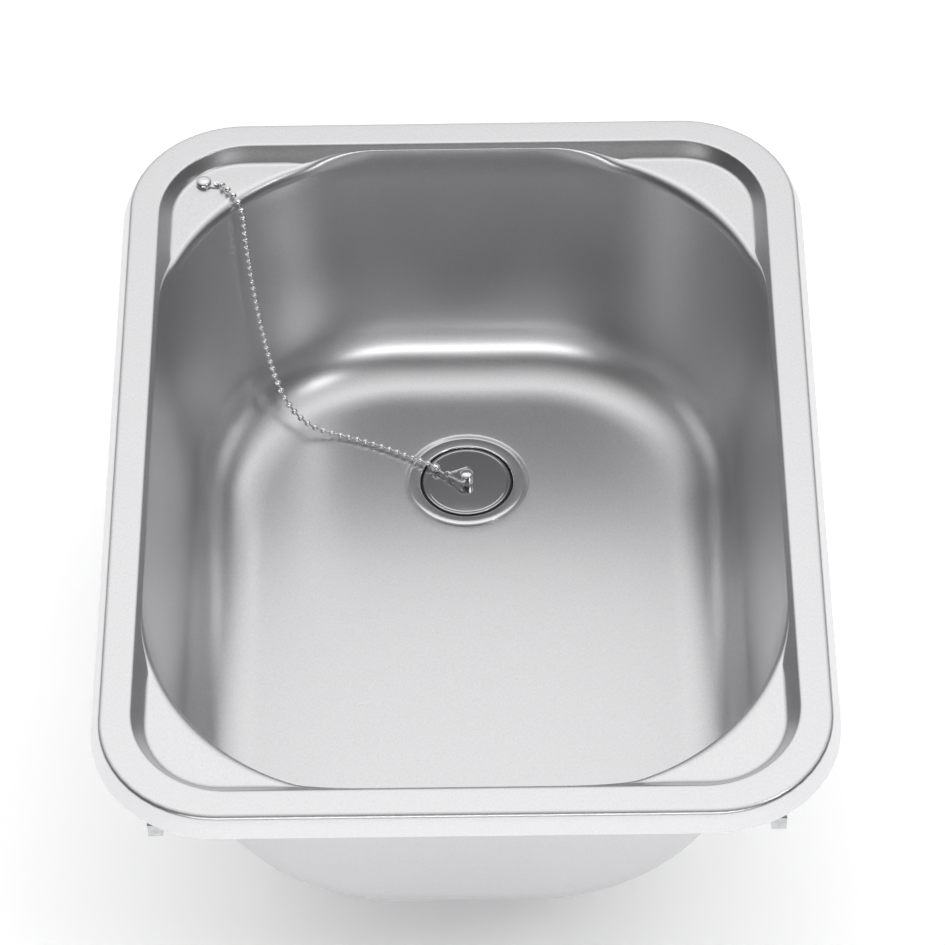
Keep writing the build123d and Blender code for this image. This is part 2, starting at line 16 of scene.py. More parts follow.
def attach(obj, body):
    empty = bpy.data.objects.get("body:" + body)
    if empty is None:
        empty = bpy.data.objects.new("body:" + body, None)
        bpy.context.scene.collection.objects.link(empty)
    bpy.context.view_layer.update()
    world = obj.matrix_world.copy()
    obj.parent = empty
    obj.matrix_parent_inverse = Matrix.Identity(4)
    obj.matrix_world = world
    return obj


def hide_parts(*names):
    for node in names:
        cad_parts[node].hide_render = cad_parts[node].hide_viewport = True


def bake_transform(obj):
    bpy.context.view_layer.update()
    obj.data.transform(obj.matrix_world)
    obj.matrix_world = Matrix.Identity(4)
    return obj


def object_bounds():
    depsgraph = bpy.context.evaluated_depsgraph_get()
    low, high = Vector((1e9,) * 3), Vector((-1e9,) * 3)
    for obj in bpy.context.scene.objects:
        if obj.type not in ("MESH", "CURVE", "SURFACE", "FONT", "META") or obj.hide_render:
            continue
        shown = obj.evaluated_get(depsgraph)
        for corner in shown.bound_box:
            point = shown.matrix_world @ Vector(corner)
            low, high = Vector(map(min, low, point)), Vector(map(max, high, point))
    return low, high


MM = 0.001
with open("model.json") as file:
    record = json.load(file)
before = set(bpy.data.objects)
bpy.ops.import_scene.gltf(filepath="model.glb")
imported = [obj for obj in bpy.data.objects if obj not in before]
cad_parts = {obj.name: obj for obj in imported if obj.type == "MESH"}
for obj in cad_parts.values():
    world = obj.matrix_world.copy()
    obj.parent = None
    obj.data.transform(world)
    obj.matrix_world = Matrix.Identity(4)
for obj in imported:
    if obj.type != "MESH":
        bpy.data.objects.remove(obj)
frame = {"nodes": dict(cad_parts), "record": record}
cad_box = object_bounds()

# Camera: its place in metres, its right and up as directions, its sensor and lens in millimetres
camera_place = (0.01772, -1.47030, 1.78646)
camera_right = Vector((0.99991, -0.00603, -0.01222))
camera_up = Vector((0.01240, 0.77417, 0.63286))
camera_sensor = 36.0
camera_lens = 157.01

# Pressing: half sizes from the middle, corners as seen from above, and the rounding of each bend
overall_x = 200.0
overall_y = 255.0
rim_height = 13.0
rim_flat = 16.5
edge_spread = 5.0
flat_corner = 65.0
inner_corner = 54.0
edge_round = 3.5
inner_round = 2.5
inner_round_under = 0.6
sheet = 1.0
step_drop = 8.5
step_run = 8.0
step_corner = 41.0
step_foot_round = 1.8
step_toe_share = 0.94
mouth_in = 4.0
mouth_corner = 117.0
mouth_round = 1.2
lip_drop = 8.0
throat_corner = 131.0
bowl_depth = 172.0
wall_draft = radians(6.2)
floor_corner = 124.0
floor_fillet = 41.0
fall = radians(2.5)
side_columns = 9
edge_columns = 18
corner_columns = 16
floor_steps = 16

# Waste and plug, along the waste's axis from the bowl's floor; rounds belong to a profile's corners in turn
waste_back = 114.0
seat_depth = 1.5
seat_radius = 35.6
seat_slope = 2.0
seat_apron = 8.0
shoulder_round = 0.9
shoulder_steps = 6
waste_hole = 30.5
flange_radius = 35.0
flange_sheet = 1.0
flange_rounds = (1.2, 0.45, 0.2, 0.6)
throat_radius = 28.0
throat_depth = 21.0
drain_holes = 6
drain_hole = 5.0
drain_circle = 15.0
drain_columns = 48
drain_rows = 5
drain_lap = 0.3
screw_hole = 3.1
cap_radius = 26.6
cap_sheet = 1.2
cap_edge = ((2.4, 0.0), (1.9, 0.25), (1.2, 0.02), (0.0, 0.1))  # in from the edge and down from the top
cap_rounds = (0.3, 0.25, 0.3, 0.4, 0.15)
rubber_radius = 27.7
rubber_depth = 13.0
rubber_bevel = 4.0
rubber_rounds = (0.5, 2.0, 1.5)
post_radius = 4.2
post_height = 8.5
post_dome = 1.6
post_side_from = 1.7
post_rounds = (0.15, 0.15, 0.3)
stud_radius = 2.0
nut_height = 3.0
link_up = 5.5
link_turn = radians(13.0)
link_drop = radians(10.6)
link_half = 6.8
link_length = 13.0
link_corner = 1.3
link_wire = 0.9
link_cut = 1.24
ring_radius = 2.3
ring_wire = 0.5
seal_thick = 2.0
cup_radius = 36.0
cup_wall = 3.5
cup_depth = 24.0
cup_rounds = (2.0, 0.5, 0.5, 1.5, 1.0, 0.6)
tail_radius = 23.9
tail_bore = 20.0
tail_length = 30.0
tail_pitch = 2.3
tail_thread = 1.1
boss_radius = 5.0
boss_length = 12.0
rib_count = 3
rib_thick = 2.5
rib_height = 4.0
rib_under = 0.2
rib_in_boss = 0.8
rib_in_cup = 0.5

# Clip screws
clip_x = 167.5
clip_y = 184.0
clip_top = -20.0
clip_foot = -51.0
clip_radius = 2.5
clip_bevel = 0.6
clip_pitch = 0.8
clip_thread = 0.4
clip_sides = 18
clip_head_across = 8.0
clip_head = 4.0
clip_head_bevel = 0.5

# Ball chain: the route of the solids, through the middles of the beads
chain_route = [
    (-140.5, 204.6, 7.6),
    (-135.0, 198.4, 7.3),
    (-130.2, 191.4, 2.6),
    (-129.6, 188.0, -14.0),
    (-127.8, 184.0, -45.0),
    (-124.8, 179.9, -78.0),
    (-120.8, 176.6, -108.0),
    (-115.2, 170.6, -132.5),
    (-106.6, 161.2, -148.0),
    (-93.0, 153.6, -155.9),
    (-75.0, 149.8, -158.1),
    (-55.0, 142.4, -157.9),
    (-37.5, 133.4, -157.3),
    (-21.2, 124.8, -156.6),
]
chain_across = np.array((0.46, 0.88, 0.1))
bead_count = 50
end_beads = 7
bead_radius = 2.0
bead_rows = 13
bead_columns = 20
pin_radius = 0.55
pin_sides = 8
bell_radius = 2.6
bell_length = 5.0
bell_neck = 1.0
bell_mouth = 0.72
bell_flare = 0.9
bell_shoulder = 1.4
bell_crown = 0.6
bell_rounds = (0.3, 0.5, 0.8, 0.4)
stay_bell_radius = 1.9
stay_bell_length = 2.4
stay_bell_rounds = (0.8, 0.5)

# Chain stay
stay_x = -153.2
stay_y = 210.1
stay_head = 4.6
stay_head_height = 3.2
stay_head_edge = 0.8
stay_shank = 2.0
stay_length = 9.0
eye_plate = 0.8
eye_reach = 7.6
eye_turn = radians(-8.0)
tongue_gap = 0.3
tongue_radius = 1.7
tongue_rounds = (0.3, 0.2, 0.1, 0.3)
peg_radius = 1.1

# Worked out from those
flat_x = overall_x - edge_spread
flat_y = overall_y - edge_spread
inner_x = flat_x - rim_flat
inner_y = flat_y - rim_flat
ledge_z = rim_height - step_drop
lip_z = ledge_z - lip_drop
waste_z = rim_height - bowl_depth
floor_mid_z = waste_z + tan(fall) * waste_back
floor_in = mouth_in + tan(wall_draft) * (lip_z - floor_mid_z)
edge_lean = atan2(edge_spread, rim_height)
step_lean = atan2(step_run, step_drop)
waste_place = np.array((0, waste_back, waste_z))
waste_axes = np.array(((1, 0, 0), (0, cos(fall), -sin(fall)), (0, sin(fall), cos(fall))))
waste_way = waste_axes[2]
flange_top = flange_sheet - seat_depth
throat_floor = flange_top - throat_depth
strainer_under = throat_floor - flange_sheet
upright = (0, 0, 1)


def unit(vectors):
    """Each vector divided by its own length."""
    vectors = np.asarray(vectors, float)
    return vectors / np.linalg.norm(vectors, axis=-1, keepdims=True)


def on_waste(points):
    """Points given along the waste's own axes, in the part's frame."""
    return waste_place + np.asarray(points, float) @ waste_axes


def faces_of(rows, columns, wrap_rows=False):
    """Four-sided faces between neighbours of a grid: its columns close round, its rows only if they wrap."""
    row = np.arange(rows if wrap_rows else rows - 1)[:, None]
    column = np.arange(columns)[None, :]
    row_after = (row + 1) % rows
    column_after = (column + 1) % columns
    corners = (
        row * columns + column,
        row * columns + column_after,
        row_after * columns + column_after,
        row_after * columns + column,
    )
    return np.stack(np.broadcast_arrays(*corners), -1).reshape(-1, 4)


def grid(points, wrap_rows=False):
    """A grid of points with its faces, as one surface that closes round its columns."""
    points = np.asarray(points, float)
    return points.reshape(-1, 3), faces_of(points.shape[0], points.shape[1], wrap_rows)


def piece(name, surfaces, finish, body=None, nodes=(), crease=radians(40)):
    """One mesh of several surfaces, its doubled points merged and its faces turned outwards."""
    starts = np.cumsum([0] + [len(points) for points, _ in surfaces[:-1]])
    points = np.concatenate([points for points, _ in surfaces]) * MM
    faces = np.concatenate([faces + start for (_, faces), start in zip(surfaces, starts)])
    mesh = bpy.data.meshes.new(name)
    mesh.from_pydata(points, [], faces)
    work = bmesh.new()
    work.from_mesh(mesh)
    bmesh.ops.remove_doubles(work, verts=work.verts, dist=1e-6)
    bmesh.ops.dissolve_degenerate(work, edges=work.edges, dist=1e-7)
    bmesh.ops.recalc_face_normals(work, faces=work.faces)
    work.to_mesh(mesh)
    work.free()
    mesh.shade_smooth()
    mesh.set_sharp_from_angle(angle=crease)
    mesh.materials.append(finish)
    made = bpy.data.objects.new(name, mesh)
    bpy.context.scene.collection.objects.link(made)
    if body:
        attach(made, body)
    if nodes:
        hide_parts(*nodes)
    return made


def round_ways(axis, sides):
    """Turns all round an axis, and the way out at each.

    The way out is the turn's cosine and sine along two ways that are square to the axis.
    """
    aslant = (0.31, 0.17, 0.93)
    backwards = (0.0, 1.0, 0.0)
    nearly_upright = 0.9
    side = unit(np.cross(axis, aslant if abs(axis[2]) < nearly_upright else backwards))
    turn = np.linspace(0, 2 * pi, sides, endpoint=False)
    return turn, np.cos(turn)[:, None] * side + np.sin(turn)[:, None] * np.cross(axis, side)


def turned(profile, place, axis, sides=64, wrap_rows=False):
    """A profile of radius and height turned round an axis: radius times the way out, plus height."""
    profile = np.asarray(profile, float)
    axis = unit(axis)
    points = profile[:, None, :1] * round_ways(axis, sides)[1] + profile[:, None, 1:] * axis
    return grid(np.asarray(place, float) + points, wrap_rows)


def turned_on_waste(profile, sides, wrap_rows=False):
    """A profile of radius and height turned round the waste's own axis."""
    return turned(profile, waste_place, waste_way, sides, wrap_rows)


def threaded(radius, top, foot, pitch, depth, place, axis, sides):
    """A screw thread on a round bar.

    The radius falls by a wave that climbs one pitch in one turn and fades out over a pitch at both ends.
    """
    rows_in_pitch = 6
    axis = unit(axis)
    turn, ways = round_ways(axis, sides)
    height = np.linspace(top, foot, round(rows_in_pitch * (top - foot) / pitch) + 1)[:, None]
    wave = 0.5 - 0.5 * np.cos(2 * pi * height / pitch - turn)
    fade = np.clip(np.minimum(top - height, height - foot) / pitch, 0, 1)
    out = radius - depth * wave * fade
    return grid(np.asarray(place, float) + out[..., None] * ways + height[..., None] * axis)


def tube(path, radius, across, sides, wrap=False):
    """A circle carried along a path, square to it, with one of its axes square to a fixed way across."""
    path = np.asarray(path, float)
    if wrap:
        along = unit(np.roll(path, -1, 0) - np.roll(path, 1, 0))
    else:
        along = unit(np.gradient(path, axis=0))
    side = unit(np.cross(along, across))
    other = np.cross(along, side)
    turn = np.linspace(0, 2 * pi, sides, endpoint=False)
    points = path[:, None] + radius * (
        np.cos(turn)[None, :, None] * side[:, None] + np.sin(turn)[None, :, None] * other[:, None]
    )
    if wrap:
        return grid(points, True)
    ends = np.concatenate(([np.repeat(path[:1], sides, 0)], points, [np.repeat(path[-1:], sides, 0)]))
    return grid(ends)


def weighted_arc(start, corner, stop, weight, steps):
    """A circle's or ellipse's arc: the mean of two touch points and a corner, each with its share.

    The shares slide from all start to all stop, and the corner's is greatest half way, times its weight.
    """
    share = np.linspace(0, 1, steps)[:, None, None]
    at_start = (1 - share) ** 2
    at_corner = 2 * np.asarray(weight)[None, ..., None] * share * (1 - share)
    at_stop = share**2
    return (at_start * start + at_corner * corner + at_stop * stop) / (at_start + at_corner + at_stop)


def eased(before, corner, after, leg, steps):
    """A corner between two runs rounded by an arc.

    The arc starts and ends one leg from the corner, or at a share of a run that is too short for it.
    """
    run_share = 0.45
    back = before - corner
    ahead = after - corner
    back_length = np.linalg.norm(back, axis=-1, keepdims=True)
    ahead_length = np.linalg.norm(ahead, axis=-1, keepdims=True)
    reach = np.minimum(leg, run_share * np.minimum(back_length, ahead_length))
    cosine = np.sum(back * ahead, -1) / (back_length * ahead_length)[..., 0]
    weight = np.sqrt(np.clip((1 - cosine) / 2, 0, 1))
    start = corner + back * reach / back_length
    stop = corner + ahead * reach / ahead_length
    return weighted_arc(start, corner, stop, weight, steps)


def soft_profile(corners, rounds, steps=5):
    """A profile whose corners between its ends are arcs, each one leg long on either side of its corner."""
    corners = np.asarray(corners, float)
    rows = [corners[:1]]
    for before, corner, after, leg in zip(corners, corners[1:], corners[2:], rounds):
        rows.append(eased(before[None], corner[None], after[None], leg, steps)[:, 0])
    rows.append(corners[-1:])
    return np.concatenate(rows)


def dome_profile(radius, foot, rise):
    """A quarter of an ellipse from the top's middle to its edge: radius times sine, rise times cosine."""
    lift = np.linspace(0, pi / 2, 10)
    return np.stack((radius * np.sin(lift), foot + rise * np.cos(lift)), -1)


def straight(start, stop, steps):
    """Rows between two rows, the ends left out."""
    share = np.linspace(0, 1, steps + 2)[1:-1, None, None]
    return start + share * (stop - start)


def crossing(rays, half_x, half_y, corner):
    """Where flat rays leave a rectangle with round corners: each ray's length is halved in on the outline."""
    past_outline = 400.0
    halvings = 40
    start, way = rays
    near = np.zeros(len(start))
    far = np.full(len(start), past_outline)
    square = np.array((half_x - corner, half_y - corner))
    for _ in range(halvings):
        middle = (near + far) / 2
        past = np.abs(start + middle[:, None] * way) - square
        outside = np.linalg.norm(np.maximum(past, 0), axis=1) + np.minimum(past.max(1), 0) > corner
        near = np.where(outside, near, middle)
        far = np.where(outside, middle, far)
    return start + near[:, None] * way


def mirrored(quarter):
    """A quarter of the round, from the right side's middle to the back's, with its three mirror images."""
    flip_x = quarter * (-1, 1)
    flip_y = quarter * (1, -1)
    return np.concatenate((quarter, flip_x[-2::-1], -quarter[1:], flip_y[-2:0:-1]))


def column_rays():
    """Rays that every row crosses, and which of them meet the rim in a corner.

    For the bowl they are square to its sides and spread round its corners. For the rim, each starts
    where a bowl ray meets the mouth and takes the shortest way to the rim.
    """
    inner = np.array((inner_x, inner_y))
    middle = inner - mouth_in - throat_corner
    rim_middle = inner - inner_corner
    mouth_middle = inner - mouth_in - mouth_corner
    rise = rim_middle[1] - mouth_middle[1]
    meets = mouth_middle[0] + np.sqrt(mouth_corner**2 - rise**2)
    low = atan2(rim_middle[1] - middle[1], meets - middle[0])
    turn = np.concatenate((
        np.linspace(0, low, edge_columns, endpoint=False),
        np.linspace(low, pi / 2 - low, corner_columns, endpoint=False),
        np.linspace(pi / 2 - low, pi / 2, edge_columns + 1),
    ))
    share = np.linspace(0, 1, side_columns, endpoint=False)
    turns = np.concatenate((0 * share, turn, 0 * share + pi / 2))
    way = np.stack((np.cos(turns), np.sin(turns)), -1)
    ones = np.ones(len(turn))
    along_x = np.concatenate((0 * share, ones, share[::-1]))
    along_y = np.concatenate((share, ones, 0 * share))
    start = middle * np.stack((along_x, along_y), -1)
    mouth = crossing((start, way), *(inner - mouth_in), mouth_corner)
    bearing = np.clip(np.arctan2(*(mouth - rim_middle).T[::-1]), 0, pi / 2)
    rim_way = np.stack((np.cos(bearing), np.sin(bearing)), -1)
    marks = ((bearing > 0) & (bearing < pi / 2))[:, None] * np.ones(2)
    bowl = mirrored(start), mirrored(way)
    rim = mirrored(mouth), mirrored(rim_way)
    # A mirror image changes only the sign of a mark
    return bowl, rim, mirrored(marks)[:, 0] != 0


def ring(rays, half_x, half_y, corner, level, lean=0.0):
    """The rays' crossings with a rectangle with round corners, on a level or leaning plane."""
    flat = crossing(rays, half_x, half_y, corner)
    return np.stack((flat[:, 0], flat[:, 1] * cos(lean), level - flat[:, 1] * sin(lean)), -1)


def sheet_rows(skin, fine):
    """One face of the sheet from the worktop over the rim, the step, the ledges and the lip to the floor.

    The step falls evenly from the rim, and the bowl's mouth cuts into it wherever it lies outside the
    step's foot. Each row is a ring of crossings, and an arc rounds each bend between two rows. The skin
    is the depth under the upper face, and fine is 1 for the face that shows, which has more rows.
    """
    edge_half_turn = tan((pi / 2 - edge_lean) / 2)
    step_half_turn = tan((pi / 2 - step_lean) / 2)
    miter = skin * edge_half_turn
    step_miter = skin * step_half_turn
    top = rim_height - skin
    foot = ring(rim_rays, overall_x - skin, overall_y - skin, flat_corner + edge_spread - skin, 0)
    edge = ring(rim_rays, flat_x - miter, flat_y - miter, flat_corner - miter, top)
    inside = ring(rim_rays, inner_x + step_miter, inner_y + step_miter, inner_corner + step_miter, top)
    edge_bend = eased(foot, edge, inside, (edge_round - skin) * edge_half_turn, 5 + 4 * fine)
    mouth_x = inner_x - mouth_in + skin
    mouth_y = inner_y - mouth_in + skin
    mouth = ring(bowl_rays, mouth_x, mouth_y, mouth_corner + skin * (1 + np.sqrt(2)), top)
    inset = np.linalg.norm(mouth - inside, axis=1)
    way = (mouth - inside) / inset[:, None]

    def on_step(reach):
        """Points a given reach in from the rim, lower by the same share of the step's drop as of its run."""
        drop = step_drop * np.minimum(reach / step_run, 1)
        return inside + reach[:, None] * way - drop[:, None] * np.array(upright)

    start = inset - mouth_round
    mouth_edge = on_step(start)
    grow = step_miter - step_run
    toe = ring(rim_rays, inner_x + grow, inner_y + grow, step_corner + step_miter, ledge_z - skin)
    toe = np.where(in_corner[:, None], toe, on_step(np.minimum(step_run, step_toe_share * start)))
    lip = ring(bowl_rays, mouth_x, mouth_y, throat_corner + skin, 0)
    lip_top = np.column_stack((lip[:, :2], on_step(inset)[:, 2]))
    lip_foot = np.column_stack((lip[:, :2], np.full(len(lip), lip_z)))
    radius = floor_fillet + skin
    outwards = skin * (1 - sin(wall_draft)) / cos(wall_draft) - floor_in
    run_up = radius * ((sin(wall_draft) - 1) / cos(wall_draft) + cos(wall_draft))
    run_in = radius * (sin(wall_draft) - 1) / cos(wall_draft)
    rise = radius * (1 - sin(wall_draft))
    start_corner = floor_corner + skin + (throat_corner - floor_corner) * rise / (lip_z - floor_mid_z)
    bends = []
    for run, up in ((run_up, rise), (0, 0), (run_in, 0)):
        grow = outwards + run
        level = floor_mid_z - skin + up
        corner = start_corner + run - run_up
        bends.append(ring(bowl_rays, inner_x + grow, inner_y + grow, corner, level, fall))
    rim_leg = (inner_round_under if skin else inner_round) * step_half_turn
    rim_bend = eased(edge, inside, toe, rim_leg, 4 + 5 * fine)
    toe_bend = eased(inside, toe, mouth_edge, step_foot_round, 4 + 3 * fine)
    turns = np.ones(len(foot))
    return np.concatenate((
        foot[None],
        straight(foot, edge_bend[0], 2),
        edge_bend,
        straight(edge_bend[-1], rim_bend[0], 3),
        rim_bend,
        straight(rim_bend[-1], toe_bend[0], 2),
        toe_bend,
        straight(toe_bend[-1], mouth_edge, 3),
        weighted_arc(mouth_edge, lip_top, lip_foot, turns * cos(pi / 4), 6 + 10 * fine),
        straight(lip_foot, bends[0], 6 + 6 * fine),
        weighted_arc(*bends, turns * cos((pi / 2 - wall_draft) / 2), 12 + 18 * fine),
        floor_rows(bends[2], skin),
    ))


def floor_rows(floor_edge, skin):
    """Flat floor and waste seat: the floor's edge slides towards the waste and on down the seat's profile."""
    flat = (floor_edge - waste_place) @ waste_axes.T
    reach = np.linalg.norm(flat[:, :2], axis=1)
    way = unit(flat[:, :2])
    top = -skin
    seat_level = -seat_depth - skin
    corners = [
        (seat_radius + seat_apron, top),
        (seat_radius + seat_slope, top),
        (seat_radius + (sheet if skin else 0), seat_level),
        (waste_hole, seat_level),
    ]
    profile = soft_profile(corners, [shoulder_round] * 2, shoulder_steps)
    share = np.linspace(0, 1, floor_steps)[1:-1, None]
    slide = reach[None] + share * (profile[0, 0] - reach[None])
    radii = np.concatenate((slide, np.repeat(profile[:, :1], len(reach), 1)))
    heights = np.concatenate((np.full(slide.shape, top), np.repeat(profile[:, 1:], len(reach), 1)))
    return on_waste(np.stack((radii * way[:, 0], radii * way[:, 1], heights), -1))


def spline_points(route):
    """Points of the smooth line that the route's points control, read from a spline with no thickness."""
    line = bpy.data.curves.new("chain_line", "CURVE")
    line.dimensions = "3D"
    line.resolution_u = 24
    spline = line.splines.new("NURBS")
    spline.points.add(len(route) - 1)
    spline.points.foreach_set("co", np.column_stack((np.array(route) * MM, np.ones(len(route)))).ravel())
    spline.order_u = 3
    spline.use_endpoint_u = True
    holder = bpy.data.objects.new("chain_line", line)
    bpy.context.scene.collection.objects.link(holder)
    read = bpy.data.meshes.new_from_object(holder)
    points = np.zeros(3 * len(read.vertices))
    read.vertices.foreach_get("co", points)
    bpy.data.objects.remove(holder)
    return points.reshape(-1, 3) / MM


def along_line(points, places):
    """Points at given distances along a line."""
    steps = np.concatenate(([0], np.cumsum(np.linalg.norm(np.diff(points, axis=0), axis=1))))
    return np.stack([np.interp(places, steps, points[:, axis]) for axis in range(3)], -1)


def pin(start, stop):
    """The chain's wire between two points."""
    return tube(np.stack((start, stop)), pin_radius, chain_across, pin_sides)


def bead_string(points, places, start, stop):
    """Balls on a wire: a half circle turned into a ball at each place, its poles along the line."""
    beside = 0.5
    middles = along_line(points, places)
    along = unit(along_line(points, places + beside) - along_line(points, places - beside))
    side = unit(np.cross(along, chain_across))
    other = np.cross(along, side)
    lift = np.linspace(0, pi, bead_rows)[:, None, None, None]
    turn = np.linspace(0, 2 * pi, bead_columns, endpoint=False)[:, None, None]
    around = np.cos(turn) * side + np.sin(turn) * other
    balls = np.sin(lift) * around[None] + np.cos(lift) * along
    balls = (middles + bead_radius * balls).transpose(2, 0, 1, 3)
    one = faces_of(bead_rows, bead_columns)
    firsts = np.arange(len(places)) * bead_rows * bead_columns
    faces = (one[None] + firsts[:, None, None]).reshape(-1, 4)
    wire = along_line(points, np.linspace(start, stop, 4 * len(places)))
    return [(balls.reshape(-1, 3), faces), tube(wire, pin_radius, chain_across, pin_sides)]


# Finishes
grain_range = (0.3, 0.7)
shade_range = (0.35, 0.65)


def node_finish(name):
    """An empty finish with its shader, ready for its own nodes."""
    finish = bpy.data.materials.new(name)
    finish.use_nodes = True
    tree = finish.node_tree
    return finish, tree, tree.nodes["Principled BSDF"]


def grain(tree, scale, detail, stretch):
    """Noise on the piece's own coordinates, drawn out along the axes."""
    place = tree.nodes.new("ShaderNodeTexCoord")
    mapping = tree.nodes.new("ShaderNodeMapping")
    mapping.inputs["Scale"].default_value = stretch
    noise = tree.nodes.new("ShaderNodeTexNoise")
    noise.inputs["Scale"].default_value = scale
    noise.inputs["Detail"].default_value = detail
    tree.links.new(place.outputs["Object"], mapping.inputs["Vector"])
    tree.links.new(mapping.outputs["Vector"], noise.inputs["Vector"])
    return noise.outputs["Fac"]


def spread(tree, value, low, high):
    """Noise brought to a range of values."""
    node = tree.nodes.new("ShaderNodeMapRange")
    node.inputs["From Min"].default_value = grain_range[0]
    node.inputs["From Max"].default_value = grain_range[1]
    node.inputs["To Min"].default_value = low
    node.inputs["To Max"].default_value = high
    tree.links.new(value, node.inputs["Value"])
    return node.outputs["Result"]


def shades(tree, value, dark, light):
    """Noise turned into shades between two colours."""
    ramp = tree.nodes.new("ShaderNodeValToRGB")
    for element, position, colour in zip(ramp.color_ramp.elements, shade_range, (dark, light)):
        element.position = position
        element.color = (*colour, 1)
    tree.links.new(value, ramp.inputs["Fac"])
    return ramp.outputs["Color"]


def bumps(tree, value, strength, depth):
    """Noise as small heights of the surface."""
    bump = tree.nodes.new("ShaderNodeBump")
    bump.inputs["Strength"].default_value = strength
    bump.inputs["Distance"].default_value = depth
    tree.links.new(value, bump.inputs["Height"])
    return bump.outputs["Normal"]


def surface(name, dark, light, rough, scale, detail, metal=0.0, stretch=(1, 1, 1), bump=(0.1, 0.0002)):
    """A finish whose colour, gloss and small heights all follow one grain."""
    finish, tree, shader = node_finish(name)
    noise = grain(tree, scale, detail, stretch)
    tree.links.new(shades(tree, noise, dark, light), shader.inputs["Base Color"])
    tree.links.new(spread(tree, noise, *rough), shader.inputs["Roughness"])
    tree.links.new(bumps(tree, noise, *bump), shader.inputs["Normal"])
    shader.inputs["Metallic"].default_value = metal
    return finish


satin_steel = surface(
    "satin_steel", (0.67, 0.67, 0.68), (0.74, 0.74, 0.75), (0.29, 0.35), 1700, 3,
    metal=1.0, stretch=(1, 0.35, 1), bump=(0.05, 0.00003),
)
bright_steel = surface(
    "bright_steel", (0.70, 0.70, 0.71), (0.76, 0.76, 0.77), (0.10, 0.15), 900, 4,
    metal=1.0, bump=(0.01, 0.00001),
)
# Same polished steel as bright_steel, its colour darkened to paint the shade of the dark surroundings that
# the plug cap mirrors
steel_with_painted_shade = surface(
    "steel_with_painted_shade", (0.46, 0.46, 0.47), (0.5, 0.5, 0.51), (0.11, 0.15), 1100, 3,
    metal=1.0, bump=(0.01, 0.00001),
)
chain_metal = surface(
    "chain_metal", (0.84, 0.84, 0.85), (0.94, 0.94, 0.94), (0.14, 0.2), 700, 3,
    metal=1.0, bump=(0.02, 0.00001),
)
zinc = surface(
    "zinc", (0.5, 0.52, 0.54), (0.66, 0.67, 0.68), (0.32, 0.5), 260, 4,
    metal=1.0, bump=(0.08, 0.00006),
)
black_rubber = surface("black_rubber", (0.012, 0.012, 0.012), (0.03, 0.03, 0.03), (0.5, 0.68), 650, 4)
white_plastic = surface(
    "white_plastic", (0.74, 0.74, 0.73), (0.8, 0.8, 0.79), (0.38, 0.5), 420, 4, bump=(0.06, 0.00005)
)
foam = surface(
    "foam", (0.035, 0.035, 0.037), (0.08, 0.08, 0.085), (0.8, 0.95), 520, 5, bump=(0.5, 0.0004)
)
damping_sheet = surface(
    "damping_sheet", (0.10, 0.10, 0.105), (0.16, 0.16, 0.165), (0.6, 0.8), 180, 6, bump=(0.35, 0.0004)
)

# Pressing: one closed sheet, the upper face from the worktop to the waste hole and the lower face back
bowl_rays, rim_rays, in_corner = column_rays()
both_faces = np.concatenate((sheet_rows(0.0, 1), sheet_rows(sheet, 0)[::-1]))
piece("pressed_sink", [grid(both_faces, True)], satin_steel, "sink", ["sink_bowl"])

# Ball chain
line = spline_points(chain_route)
line_length = np.linalg.norm(np.diff(line, axis=0), axis=1).sum()
pitch = line_length / bead_count
bead_places = (np.arange(bead_count) + 0.5) * pitch
split = (bead_count - end_beads) * pitch
chain = piece(
    "ball_chain_run", bead_string(line, bead_places[:-end_beads], 0, split),
    chain_metal, nodes=["ball_chain"],
)
chain_end = piece(
    "ball_chain_tail", bead_string(line, bead_places[-end_beads:], split, line_length),
    chain_metal, nodes=["ball_chain_end"],
)

# Waste flange: edge, throat and strainer floor with its ring of holes
flange_profile = soft_profile(
    [
        (throat_radius, throat_floor),
        (throat_radius, flange_top),
        (flange_radius, flange_top),
        (flange_radius, -seat_depth),
        (throat_radius + flange_sheet, -seat_depth),
        (throat_radius + flange_sheet, strainer_under),
    ],
    flange_rounds,
)


def strainer(level):
    """Sectors of a disc, each with a round hole: the hole's edge slides out to the sector's edge."""
    turn = np.linspace(0, 2 * pi, drain_columns, endpoint=False)
    hole = np.stack((drain_circle + drain_hole * np.cos(turn), drain_hole * np.sin(turn)), -1)
    half = pi / drain_holes
    side = drain_columns // 4
    reach = throat_radius + drain_lap
    rise = np.linspace(-half, half, side, endpoint=False)
    out = np.linspace(screw_hole, reach, side, endpoint=False)
    rim = reach * np.stack((np.cos(rise), np.sin(rise)), -1)
    back = out[::-1] + (reach - screw_hole) / side
    left = back[:, None] * np.array((cos(half), sin(half)))
    core = screw_hole * np.stack((np.cos(-rise), np.sin(-rise)), -1)
    right = out[:, None] * np.array((cos(half), -sin(half)))
    edge = np.roll(np.concatenate((rim, left, core, right)), -side // 2, 0)
    share = np.linspace(0, 1, drain_rows)[:, None, None]
    flat = hole + share * (edge - hole)
    sector = np.concatenate((flat, np.full((*flat.shape[:2], 1), level)), -1)
    surfaces = []
    for number in range(drain_holes):
        swing = 2 * number * half
        spin = np.array(((cos(swing), sin(swing), 0), (-sin(swing), cos(swing), 0), upright))
        surfaces.append(grid(on_waste(sector @ spin)))
    return surfaces


def drain(number):
    """The wall of one strainer hole: a short tube on the ring of holes."""
    swing = 2 * pi * number / drain_holes
    spot = on_waste((drain_circle * cos(swing), drain_circle * sin(swing), 0))
    wall = [(drain_hole, throat_floor), (drain_hole, strainer_under)]
    return turned(wall, spot, waste_way, drain_columns)


piece(
    "waste_flange_ring",
    [
        turned_on_waste(flange_profile, 128),
        *strainer(throat_floor),
        *strainer(strainer_under),
        *[drain(number) for number in range(drain_holes)],
    ],
    bright_steel, "sink", ["waste_flange"],
)

